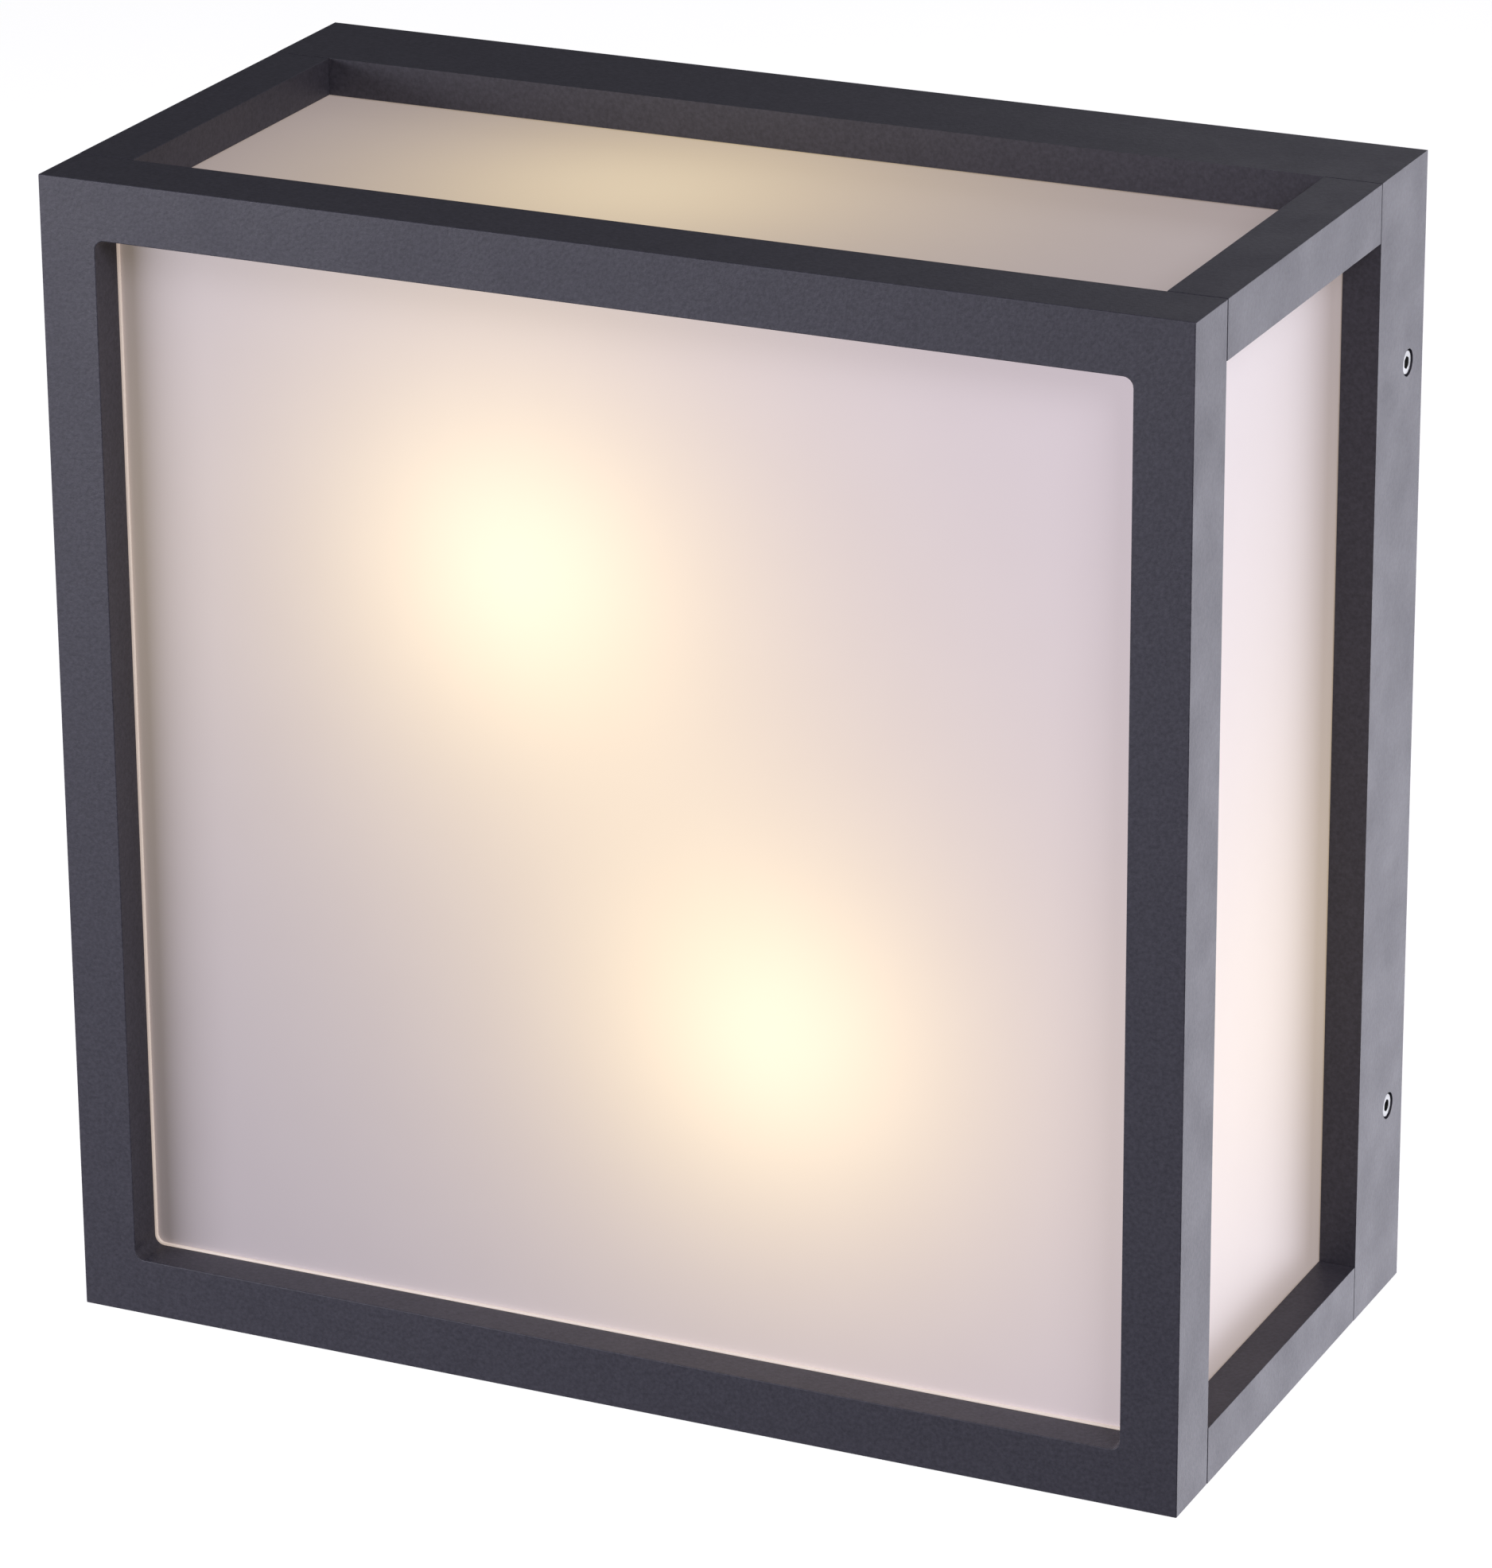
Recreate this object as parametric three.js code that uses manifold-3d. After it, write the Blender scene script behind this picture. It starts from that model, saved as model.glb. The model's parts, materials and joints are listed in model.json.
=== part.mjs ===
// Outdoor wall lantern: a square aluminium cage round a five-sided opal diffuser, hung on a wall tray
// that carries two E27 lamps. Millimetres. +Z is up, +Y points into the wall, the wall plane is y = 0,
// and the origin is the middle of the wall face.

import * as THREE from 'three';
import { mergeVertices } from 'three/addons/utils/BufferGeometryUtils.js';
import Module from 'manifold-3d';

const wasm = await Module();
wasm.setup();

// ---------------------------------------------------------------- driving dimensions

const HALF = 135;                 // half the width and half the height of the lantern
const DEPTH = 138;                // wall plane to front face
const BAR = 13.5;                 // width of every bar of the cage
const SEAM = 0.2;                 // joint line between the posts and the two rings
const GAP = 0.3;                  // running gap between loose neighbours

const FRONT_RING_DEPTH = 18;
const REAR_RING_DEPTH = 28.5;
const REAR_WALL = 2.5;            // wall of the rear ring round the tray
const WEB = 4.3;                  // web of the rear ring that the diffuser's flange lies on
const WINDOW_RADIUS = 2.3;        // inner corners of the front window

const DIFFUSER_HALF = 126;        // outside of the diffuser, 9 mm inside the cage
const DIFFUSER_RECESS = 10.5;     // front face of the cage to front face of the diffuser
const DIFFUSER_FRONT = 2.5;       // thickness of its front panel
const DIFFUSER_WALL = 2;          // thickness of its four side panels
const FLANGE = 1.8;               // thickness of its flange
const FLANGE_HALF = 131.8;
const FLANGE_CHAMFER = 10.1;      // corners cut off clear of the tie screws
const GASKET = 0.8;
const GASKET_SHOWS = 0.3;         // width of the gasket's edge inside the front window

const TRAY_HALF = 127;
const TRAY_RADIUS = 6;
const TRAY_RIM = 20;              // wall plane to the tray's rim
const SHEET = 1.5;                // tray and bracket sheet
const WALL_PAD = 3;               // closed-cell pad between tray and wall

const TIE = 128.9;                // the tie screws' distance from the middle, both ways
const TIE_SHANK = 2;
const TIE_HEAD = 3.3;
const CLAMP = 1.2;                // corner clamp plates

const SIDE_SCREW_Y = -9.3;        // height off the wall of the four side screws
const SIDE_SCREW_Z = 89;
const SIDE_HEAD = 2.75;
const SIDE_SHANK = 1.5;
const SIDE_SINK = 4;              // depth of the counterbore
const BOSS_TIP = 127.5;

const REFLECTOR_HALF = 104;
const REFLECTOR_FACE = 21.2;      // wall plane to its white face
const REFLECTOR_SHEET = 0.8;

const LAMP_X = 30;                // the lamps stand either side of the middle
const LAMP_Y = -74;               // and this far off the wall
const LAMP_END = -28;             // end of the cap's contact, along the lamp's own axis
const GLOBE_RADIUS = 30;
const GLOBE_CENTRE = 50;
const HOLDER_FLOOR = LAMP_END - 3;
const HOLDER_RIM = LAMP_END + 23;
const HOLDER_BASE = LAMP_END - 20;
const LEAD_SPREAD = 6;            // the two lead entries in each lampholder
const LEAD_HEIGHT = -38;
const BRACKET_HALF = 22;
const BRACKET_SCREW_X = 13;
const BRACKET_SCREW_Z = -65;
const FOOT_DROP = 28;

const LEAD = 0.9;                 // radius of a lead over its insulation
const BEND = 6;                   // how far from a corner a lead starts to bend
const BLOCK_POLE = 10;            // spacing of the terminal block's poles
const BLOCK_TOP = -4;
const BLOCK_HEIGHT = 20;
const GROMMET_Z = -86;
const EARTH = [-22, 34];

// ---------------------------------------------------------------- materials

function finish(color, roughness, metalness = 0, extra = {}) {
  return new THREE.MeshStandardMaterial({ color, roughness, metalness, ...extra });
}

const MATERIALS = {
  graphite_coat: () => finish(0x3b3d44, 0.6, 0.25),
  opal: () => finish(0xe4dfe6, 0.3),
  sealing: () => finish(0x1e1e20, 0.9),
  silicone: () => finish(0xc9c9c4, 0.7),
  stainless: () => finish(0xb9bbc0, 0.3, 1),
  zinc: () => finish(0xa8abb0, 0.4, 1),
  white_coat: () => finish(0xeeeeea, 0.5),
  porcelain: () => finish(0xe9e6dd, 0.25),
  nickel: () => finish(0xc4bfb2, 0.25, 1),
  brass: () => finish(0xb8943f, 0.3, 1),
  globe: () => finish(0xfff3da, 0.4, 0, { emissive: 0xffd9a0, emissiveIntensity: 1 }),
  lamp_white: () => finish(0xf2f1ee, 0.35),
  brown_lead: () => finish(0x5a3420, 0.5),
  blue_lead: () => finish(0x2c5fa5, 0.5),
  earth_lead: () => finish(0x7fa22c, 0.5),
  block_white: () => finish(0xdedbd0, 0.5),
};

// ---------------------------------------------------------------- shape helpers

// A three.js geometry as a manifold solid, and back.
function solid(geometry) {
  const bare = geometry.clone();
  bare.deleteAttribute('normal');
  bare.deleteAttribute('uv');
  const merged = mergeVertices(bare, 1e-5);
  const mesh = new wasm.Mesh({
    numProp: 3,
    vertProperties: Float32Array.from(merged.attributes.position.array),
    triVerts: Uint32Array.from(merged.index.array),
  });
  return new wasm.Manifold(mesh);
}

function geometryOf(body) {
  const mesh = body.getMesh();
  const geometry = new THREE.BufferGeometry();
  const points = new Float32Array(mesh.numVert * 3);
  for (let i = 0; i < mesh.numVert; i++) {
    for (let k = 0; k < 3; k++) {
      points[3 * i + k] = mesh.vertProperties[mesh.numProp * i + k];
    }
  }
  geometry.setAttribute('position', new THREE.BufferAttribute(points, 3));
  geometry.setIndex(Array.from(mesh.triVerts));
  return geometry;
}

// The first geometry with the others cut from it.
function cut(base, ...tools) {
  let body = solid(base);
  for (const tool of tools) {
    body = body.subtract(solid(tool));
  }
  return geometryOf(body);
}

function join(base, ...others) {
  let body = solid(base);
  for (const other of others) {
    body = body.add(solid(other));
  }
  return geometryOf(body);
}

function box([x0, x1], [y0, y1], [z0, z1]) {
  const geometry = new THREE.BoxGeometry(x1 - x0, y1 - y0, z1 - z0);
  return geometry.translate((x0 + x1) / 2, (y0 + y1) / 2, (z0 + z1) / 2);
}

// A cylinder between two values of one axis, about a line at (u, v) of the other two.
function rod(axis, from, to, radius, [u, v] = [0, 0], sides = 12) {
  const geometry = new THREE.CylinderGeometry(radius, radius, to - from, sides);
  const middle = (from + to) / 2;
  if (axis === 'x') {
    return geometry.rotateZ(-Math.PI / 2).translate(middle, u, v);
  }
  if (axis === 'y') {
    return geometry.translate(u, middle, v);
  }
  return geometry.rotateX(Math.PI / 2).translate(u, v, middle);
}

// A square outline of half width `half`, with rounded corners if it has a radius.
function square(half, radius = 0) {
  if (radius === 0) {
    return polygon([[half, -half], [half, half], [-half, half], [-half, -half]]);
  }
  const inner = half - radius;
  const shape = new THREE.Shape();
  shape.moveTo(inner, -half);
  shape.absarc(inner, -inner, radius, -Math.PI / 2, 0, false);
  shape.absarc(inner, inner, radius, 0, Math.PI / 2, false);
  shape.absarc(-inner, inner, radius, Math.PI / 2, Math.PI, false);
  shape.absarc(-inner, -inner, radius, Math.PI, 1.5 * Math.PI, false);
  shape.closePath();
  return shape;
}

function polygon(points) {
  return new THREE.Shape(points.map(([x, y]) => new THREE.Vector2(x, y)));
}

// A flat outline in X and Z made into a plate between two distances off the wall.
function plate(shape, near, far) {
  const options = { depth: far - near, bevelEnabled: false, curveSegments: 3 };
  return new THREE.ExtrudeGeometry(shape, options).rotateX(Math.PI / 2).translate(0, -near, 0);
}

// A profile of [radius, height] points turned about Z.
function turned(profile, sides = 24) {
  const points = profile.map(([r, z]) => new THREE.Vector2(r, z));
  return new THREE.LatheGeometry(points, sides).rotateX(Math.PI / 2);
}

function arc(radius, centre, from, to, steps) {
  return Array.from({ length: steps + 1 }, (_, i) => {
    const angle = from + ((to - from) * i) / steps;
    return [radius * Math.cos(angle), centre + radius * Math.sin(angle)];
  });
}

// A round lead along straight runs, with each corner bent to a smooth curve.
function lead(points, steps = 22) {
  const route = points.map((point) => new THREE.Vector3(...point));
  const path = new THREE.CurvePath();
  let from = route[0];
  for (let i = 1; i < route.length - 1; i++) {
    const corner = route[i];
    const bend = Math.min(BEND, corner.distanceTo(route[i - 1]) / 2, corner.distanceTo(route[i + 1]) / 2);
    const entry = corner.clone().lerp(route[i - 1], bend / corner.distanceTo(route[i - 1]));
    const exit = corner.clone().lerp(route[i + 1], bend / corner.distanceTo(route[i + 1]));
    path.add(new THREE.LineCurve3(from, entry));
    path.add(new THREE.QuadraticBezierCurve3(entry, corner, exit));
    from = exit;
  }
  path.add(new THREE.LineCurve3(from, route[route.length - 1]));
  const section = new THREE.Shape().absarc(0, 0, LEAD, 0, 2 * Math.PI, false);
  const options = { steps, extrudePath: path, curveSegments: 4, bevelEnabled: false };
  return new THREE.ExtrudeGeometry(section, options);
}

function piece(name, material, geometry) {
  const mesh = new THREE.Mesh(geometry, MATERIALS[material]());
  mesh.name = name;
  return mesh;
}

const CORNERS = [
  ['upper_left', -1, 1],
  ['upper_right', 1, 1],
  ['lower_left', -1, -1],
  ['lower_right', 1, -1],
];

// ---------------------------------------------------------------- cage

const FRAME_POCKET = DIFFUSER_HALF + GAP;
const FRONT_RING_BACK = DEPTH - FRONT_RING_DEPTH;
const LIP_BACK = DEPTH - DIFFUSER_RECESS + GASKET + 0.1;
const WEB_BACK = REAR_RING_DEPTH - WEB;
const CAVITY = HALF - REAR_WALL;

function tieHoles(near, far) {
  return CORNERS.map(([, sx, sz]) => rod('y', -far, -near, TIE_SHANK + GAP, [sx * TIE, sz * TIE]));
}

function frontRing() {
  const block = plate(square(HALF), FRONT_RING_BACK, DEPTH);
  const window = plate(square(HALF - BAR, WINDOW_RADIUS), LIP_BACK - 1, DEPTH + 1);
  const pocket = plate(square(FRAME_POCKET, 1.4), FRONT_RING_BACK - 1, LIP_BACK);
  return cut(block, window, pocket, ...tieHoles(FRONT_RING_BACK - 1, FRONT_RING_BACK + 6.5));
}

function rearRing() {
  const bosses = [-1, 1].flatMap((side) => [-SIDE_SCREW_Z, SIDE_SCREW_Z].map((z) => {
    const reach = [side * BOSS_TIP, side * (CAVITY + 1)].sort((a, b) => a - b);
    return box(reach, [SIDE_SCREW_Y - 4.7, SIDE_SCREW_Y + 4.7], [z - 5, z + 5]);
  }));
  const block = plate(square(HALF), 0, REAR_RING_DEPTH);
  const opening = plate(square(FRAME_POCKET, 1.4), WEB_BACK - 1, REAR_RING_DEPTH + 1);
  const cavity = plate(square(CAVITY, 2), -1, WEB_BACK);
  const shell = join(cut(block, opening, cavity), ...bosses);
  const bores = [-1, 1].flatMap((side) => [-SIDE_SCREW_Z, SIDE_SCREW_Z].flatMap((z) => {
    const through = [side * (BOSS_TIP - 1), side * (HALF + 1)].sort((a, b) => a - b);
    const sink = [side * (HALF - SIDE_SINK), side * (HALF + 1)].sort((a, b) => a - b);
    return [
      rod('x', ...through, SIDE_SHANK + GAP, [SIDE_SCREW_Y, z]),
      rod('x', ...sink, SIDE_HEAD + 0.4, [SIDE_SCREW_Y, z], 24),
    ];
  }));
  return cut(shell, ...bores, ...tieHoles(WEB_BACK - 1, REAR_RING_DEPTH + 1));
}

function cornerPost(sx, sz) {
  const inner = HALF - BAR;
  const outline = polygon([
    [sx * HALF, sz * HALF],
    [sx * inner, sz * HALF],
    [sx * inner, sz * FRAME_POCKET],
    [sx * FRAME_POCKET, sz * FRAME_POCKET],
    [sx * FRAME_POCKET, sz * inner],
    [sx * HALF, sz * inner],
  ]);
  const near = REAR_RING_DEPTH + SEAM;
  const far = FRONT_RING_BACK - SEAM;
  const bore = rod('y', -far - 1, -near + 1, TIE_SHANK + GAP, [sx * TIE, sz * TIE]);
  return cut(plate(outline, near, far), bore);
}

const FLANGE_BACK = WEB_BACK - 0.2 - FLANGE;
const CLAMP_BACK = FLANGE_BACK - 0.1 - CLAMP;

// A long cheese-head screw with a cross slot: it ties clamp, rear ring, post and front ring together.
function tieScrew(sx, sz) {
  const at = [sx * TIE, sz * TIE];
  const headBack = CLAMP_BACK - 0.1 - 2.8;
  const head = rod('y', -headBack - 2.8, -headBack, TIE_HEAD, at, 20);
  const shank = rod('y', -FRONT_RING_BACK - 6, -headBack - 2, TIE_SHANK, at);
  const slots = [[1.9, 0.4], [0.4, 1.9]].map(([dx, dz]) => {
    const depth = [-headBack - 1.2, -headBack + 1];
    return box([at[0] - dx, at[0] + dx], depth, [at[1] - dz, at[1] + dz]);
  });
  return cut(join(head, shank), ...slots);
}

// A bent-over corner plate that the tie screw pulls onto the diffuser's flange.
function cornerClamp(sx, sz) {
  const outer = CAVITY - 0.4;
  const inner = TIE;
  const reach = 112;
  const bend = 123.6;
  const outline = polygon([
    [outer, outer - 1.5], [outer - 1.5, outer], [reach, outer], [reach, inner], [bend, inner],
    [inner, bend], [inner, reach], [outer, reach],
  ].map(([x, z]) => [sx * x, sz * z]));
  const hole = rod('y', -CLAMP_BACK - CLAMP - 1, -CLAMP_BACK + 1, TIE_SHANK + GAP, [sx * TIE, sz * TIE]);
  return cut(plate(outline, CLAMP_BACK, CLAMP_BACK + CLAMP), hole);
}

function diffuser() {
  const front = DEPTH - DIFFUSER_RECESS;
  const chamfered = FLANGE_HALF - FLANGE_CHAMFER;
  const rim = polygon([
    [FLANGE_HALF, -chamfered], [FLANGE_HALF, chamfered], [chamfered, FLANGE_HALF],
    [-chamfered, FLANGE_HALF], [-FLANGE_HALF, chamfered], [-FLANGE_HALF, -chamfered],
    [-chamfered, -FLANGE_HALF], [chamfered, -FLANGE_HALF],
  ]);
  const outside = plate(square(DIFFUSER_HALF, 1.2), FLANGE_BACK, front);
  const flange = plate(rim, FLANGE_BACK, FLANGE_BACK + FLANGE);
  const inside = plate(square(DIFFUSER_HALF - DIFFUSER_WALL, 0.6), FLANGE_BACK - 1, front - DIFFUSER_FRONT);
  return cut(join(outside, flange), inside);
}

function ring(outer, outerRadius, inner, innerRadius, near, far) {
  const hole = plate(square(inner, innerRadius), near - 1, far + 1);
  return cut(plate(square(outer, outerRadius), near, far), hole);
}

// ---------------------------------------------------------------- side screws

const ORING_FROM = HALF - SIDE_SINK + 0.2;
const ORING_TO = ORING_FROM + 0.8;

// A socket screw with its shank along +X from the origin of its group, head outwards.
function sideScrew() {
  const headFrom = ORING_TO + 0.1;
  const headTo = HALF - 0.3;
  const head = rod('x', headFrom, headTo, SIDE_HEAD, [0, 0], 24);
  const shank = rod('x', TRAY_HALF + GAP, headFrom + 0.5, SIDE_SHANK);
  const socket = rod('x', headTo - 1.4, headTo + 1, 1.44, [0, 0], 6);
  return cut(join(head, shank), socket);
}

function sideORing() {
  return cut(rod('x', ORING_FROM, ORING_TO, 2.6, [0, 0], 20), rod('x', 0, HALF, SIDE_SHANK + GAP));
}

// ---------------------------------------------------------------- tray and what is on it

const BRACKET_HOLES = [1, -1].flatMap((turn) => [-1, 1].map((side) => [
  turn * (-LAMP_X + side * BRACKET_SCREW_X),
  turn * BRACKET_SCREW_Z,
]));
const PLATE_FACE = WALL_PAD + SHEET;

function wallSlots(near, far) {
  return [-1, 1].flatMap((sx) => [-60, 60].map((z) => {
    const slot = new THREE.Shape();
    slot.absarc(sx * 115, z + 3.5, 2.75, 0, Math.PI, false);
    slot.absarc(sx * 115, z - 3.5, 2.75, Math.PI, 2 * Math.PI, false);
    slot.closePath();
    return plate(slot, near, far);
  }));
}

function tray() {
  const block = plate(square(TRAY_HALF, TRAY_RADIUS), WALL_PAD, TRAY_RIM);
  const inside = plate(square(TRAY_HALF - SHEET, TRAY_RADIUS - SHEET), PLATE_FACE, TRAY_RIM + 1);
  const pillarTop = REFLECTOR_FACE - REFLECTOR_SHEET - 0.2;
  const pillars = BRACKET_HOLES.map((at) => rod('y', -pillarTop, -PLATE_FACE + 0.5, 6, at, 20));
  const tapped = BRACKET_HOLES.map((at) => rod('y', -pillarTop - 1, -PLATE_FACE - 2.5, 2 + GAP, at));
  const cable = rod('y', -PLATE_FACE - 1, -WALL_PAD + 1, 10, [0, GROMMET_Z], 24);
  const earth = rod('y', -PLATE_FACE - 1, -WALL_PAD + 1, 2 + GAP, EARTH);
  const pan = join(cut(block, inside), ...pillars);
  return cut(pan, ...tapped, cable, earth, ...wallSlots(WALL_PAD - 1, PLATE_FACE + 1));
}

function wallPad() {
  const sheet = plate(square(TRAY_HALF - 1, TRAY_RADIUS - 1), 0, WALL_PAD);
  const cable = rod('y', -WALL_PAD - 1, 1, 14, [0, GROMMET_Z], 24);
  return cut(sheet, cable, ...wallSlots(-1, WALL_PAD + 1));
}

// Rubber grommet gripping the edge of the cable hole, with a thin membrane for the cable to pierce.
function grommet() {
  const profile = [
    [4, 5.6], [4, 4.6], [7.5, 4.0], [7.5, 0.8], [12.4, 0.8], [12.4, WALL_PAD - GAP],
    [9.7, WALL_PAD - GAP], [9.7, PLATE_FACE + GAP], [12.8, PLATE_FACE + GAP], [12.8, 6.2],
    [9, 7.4], [7.6, 6.2], [4, 5.6],
  ];
  return turned(profile).rotateX(Math.PI / 2).translate(0, 0, GROMMET_Z);
}

const BLOCK_FACE = 19.5;
const LEAD_DEPTHS = [8, 13];
const EARTH_DEPTH = 10.5;
const POLES = [-BLOCK_POLE, 0, BLOCK_POLE];

function terminalBlock() {
  const bottom = BLOCK_TOP - BLOCK_HEIGHT;
  const ridge = BLOCK_FACE - 3.5;
  const body = box([-17, 17], [-ridge, -PLATE_FACE - GAP], [bottom, BLOCK_TOP]);
  const crowns = POLES.map((x) => {
    return box([x - 4, x + 4], [-BLOCK_FACE, -ridge + 0.5], [bottom + 2, BLOCK_TOP - 2]);
  });
  const outlets = [-BLOCK_POLE, BLOCK_POLE].flatMap((x) => LEAD_DEPTHS.map((depth) => {
    return rod('z', BLOCK_TOP - 6, BLOCK_TOP + 1, LEAD + GAP, [x, -depth], 12);
  }));
  const earth = rod('z', BLOCK_TOP - 6, BLOCK_TOP + 1, LEAD + GAP, [0, -EARTH_DEPTH], 12);
  const inlets = POLES.map((x) => rod('z', bottom - 1, bottom + 6, 2, [x, -EARTH_DEPTH], 12));
  const drivers = POLES.flatMap((x) => [5, 15].map((down) => {
    return rod('y', -BLOCK_FACE - 1, -BLOCK_FACE + 2.5, 2, [x, BLOCK_TOP - down], 12);
  }));
  return cut(join(body, ...crowns), ...outlets, earth, ...inlets, ...drivers);
}

function reflector() {
  const under = REFLECTOR_FACE - REFLECTOR_SHEET;
  const block = plate(square(REFLECTOR_HALF, 5), PLATE_FACE + GAP, REFLECTOR_FACE);
  const inside = plate(square(REFLECTOR_HALF - REFLECTOR_SHEET, 5 - REFLECTOR_SHEET), 0, under);
  const screws = BRACKET_HOLES.map((at) => rod('y', -REFLECTOR_FACE - 1, -under + 1, 2 + GAP, at));
  const slots = [-1, 1].map((turn) => {
    const x = [-LAMP_X - 10, -LAMP_X + 10].map((value) => turn * value).sort((a, b) => a - b);
    const z = [LEAD_HEIGHT - 3.5, LEAD_HEIGHT + 3.5].map((value) => turn * value).sort((a, b) => a - b);
    return box(x, [-REFLECTOR_FACE - 1, -under + 1], z);
  });
  return cut(block, inside, ...screws, ...slots);
}

// A pan-head screw along Y: head towards the room, shank towards the wall.
function panScrew(at, headFace, headHeight, headRadius, tip) {
  const head = rod('y', -headFace, -headFace + headHeight, headRadius, at, 20);
  const shank = rod('y', -headFace + headHeight - 0.5, -tip, 2, at);
  const slots = [[2.1, 0.45], [0.45, 2.1]].map(([dx, dz]) => {
    const depth = [-headFace - 1, -headFace + 1.3];
    return box([at[0] - dx, at[0] + dx], depth, [at[1] - dz, at[1] + dz]);
  });
  return cut(join(head, shank), ...slots);
}

const FOOT_BACK = REFLECTOR_FACE + 0.1;

function bracketScrew(at) {
  return panScrew(at, FOOT_BACK + SHEET + 0.2 + 2.6, 2.6, 3.6, 8.5);
}

function earthScrew() {
  return panScrew(EARTH, 9.4, 2.4, 3.6, WALL_PAD + 0.2);
}

function earthWasher() {
  const teeth = Array.from({ length: 12 }, (_, i) => {
    const angle = (i * Math.PI) / 6;
    const tooth = box([3.3, 4.3], [-5.6, -4.8], [-0.6, 0.6]);
    return tooth.rotateY(angle).translate(EARTH[0], 0, EARTH[1]);
  });
  const disc = rod('y', -5.6, -4.8, 3.7, EARTH, 24);
  return cut(join(disc, ...teeth), rod('y', -6, -4, 2 + GAP, EARTH));
}

// ---------------------------------------------------------------- leads

// Each lead leaves the terminal block upwards, runs between tray and reflector, and comes out through
// the reflector's slot straight into the back of its lampholder.
function lampLead(route, x, z, depth) {
  const start = [route[0][0], -depth, BLOCK_TOP - 5.5];
  const run = route.map(([px, pz]) => [px, -depth, pz]);
  return lead([start, ...run, [x, -depth, z], [x, LAMP_Y + 12, z]], 32);
}

function leads() {
  const [low, high] = LEAD_DEPTHS;
  const inner = LAMP_X - LEAD_SPREAD;
  const outer = LAMP_X + LEAD_SPREAD;
  const neutralRoute = [[-BLOCK_POLE, BLOCK_TOP + 10], [-inner, BLOCK_TOP + 10]];
  const liveRoute = [[BLOCK_POLE, BLOCK_TOP + 18], [-outer, BLOCK_TOP + 18]];
  return {
    neutralA: lampLead(neutralRoute, -inner, LEAD_HEIGHT, low),
    liveA: lampLead(liveRoute, -outer, LEAD_HEIGHT, low),
    neutralB: lampLead([[-BLOCK_POLE, BLOCK_TOP + 12]], inner, -LEAD_HEIGHT, high),
    liveB: lampLead([[BLOCK_POLE, BLOCK_TOP + 8]], outer, -LEAD_HEIGHT, high),
  };
}

// The earth lead ends in a ring tongue under the head of the earth screw.
function earthLead() {
  const [x, z] = EARTH;
  const tongueFace = 6.7;
  const wire = lead([
    [0, -EARTH_DEPTH, BLOCK_TOP - 5.5],
    [0, -EARTH_DEPTH, BLOCK_TOP + 28],
    [x + 12, -6.9, z - 6],
    [x + 5.5, -6.9, z - 2.75],
  ]);
  const barrel = rod('y', -7.9, -5.9, 1.9, [x + 5.6, z - 2.8], 12);
  const eye = rod('y', -tongueFace, -5.9, 4.4, EARTH, 24);
  return cut(join(wire, barrel, eye), rod('y', -9, -4, 2 + GAP, EARTH));
}

// ---------------------------------------------------------------- lamp unit, about its own axis

function bracket() {
  const shelfTop = HOLDER_BASE - GAP;
  const shelfUnder = shelfTop - SHEET;
  const back = -FOOT_BACK - LAMP_Y;
  const half = [-BRACKET_HALF, BRACKET_HALF];
  const shelf = box(half, [-26, back], [shelfUnder, shelfTop]);
  const foot = box(half, [back - SHEET, back], [shelfUnder - FOOT_DROP, shelfTop - 0.5]);
  const gussetEnd = shelfUnder - 24;
  const gussets = [-BRACKET_HALF, BRACKET_HALF - SHEET].map((x) => {
    const side = polygon([[back, shelfTop], [back, gussetEnd], [back - 3, gussetEnd], [-10, shelfTop]]);
    const web = new THREE.ExtrudeGeometry(side, { depth: SHEET, bevelEnabled: false });
    return web.rotateX(Math.PI / 2).rotateZ(Math.PI / 2).translate(x, 0, 0);
  });
  const bolt = rod('z', shelfUnder - 1, shelfTop + 1, 5.2, [0, 0], 24);
  const holes = [-1, 1].map((side) => {
    return rod('y', back - SHEET - 1, back + 1, 2 + GAP, [side * BRACKET_SCREW_X, BRACKET_SCREW_Z]);
  });
  return cut(join(shelf, foot, ...gussets), bolt, ...holes);
}

function holderBolt() {
  const under = HOLDER_BASE - GAP - SHEET - GAP;
  const head = rod('z', under - 5, under, 8, [0, 0], 6);
  const shank = rod('z', under - 1, HOLDER_BASE + 5, 4.7, [0, 0], 20);
  const bore = rod('z', under - 6, HOLDER_BASE + 6, 3, [0, 0], 16);
  return cut(join(head, shank), bore);
}

function holderBody() {
  const outline = turned([
    [0, HOLDER_FLOOR], [14.9, HOLDER_FLOOR], [14.9, HOLDER_RIM - 0.6], [15.5, HOLDER_RIM],
    [18.9, HOLDER_RIM], [19.5, HOLDER_RIM - 0.6], [19.5, HOLDER_FLOOR + 3], [17, HOLDER_FLOOR - 1],
    [17, HOLDER_BASE + 0.6], [16.4, HOLDER_BASE], [0, HOLDER_BASE],
  ].reverse());
  const thread = rod('z', HOLDER_BASE - 1, HOLDER_BASE + 6, 5, [0, 0], 20);
  const entries = [-LEAD_SPREAD, LEAD_SPREAD].map((x) => {
    return rod('y', 11.5, 20, LEAD + GAP, [x, LEAD_HEIGHT], 12);
  });
  return cut(outline, thread, ...entries);
}

function holderShell() {
  const from = HOLDER_FLOOR + 0.4;
  const to = HOLDER_RIM - 1.5;
  return turned([[13.6, from], [14.6, from], [14.6, to], [13.6, to], [13.6, from]]);
}

function holderContact() {
  const floor = HOLDER_FLOOR + GAP;
  const strip = box([-8, 8], [-3.5, 3.5], [floor, floor + 0.7]);
  const tongue = box([-4, 4], [-3, 3], [floor + 0.5, LAMP_END - GAP]);
  return join(strip, tongue);
}

function lampContact() {
  const z = (height) => LAMP_END + height;
  return turned([[0, z(0)], [3.6, z(0)], [4.4, z(0.8)], [4.4, z(1.6)], [0, z(1.6)]], 16);
}

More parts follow.
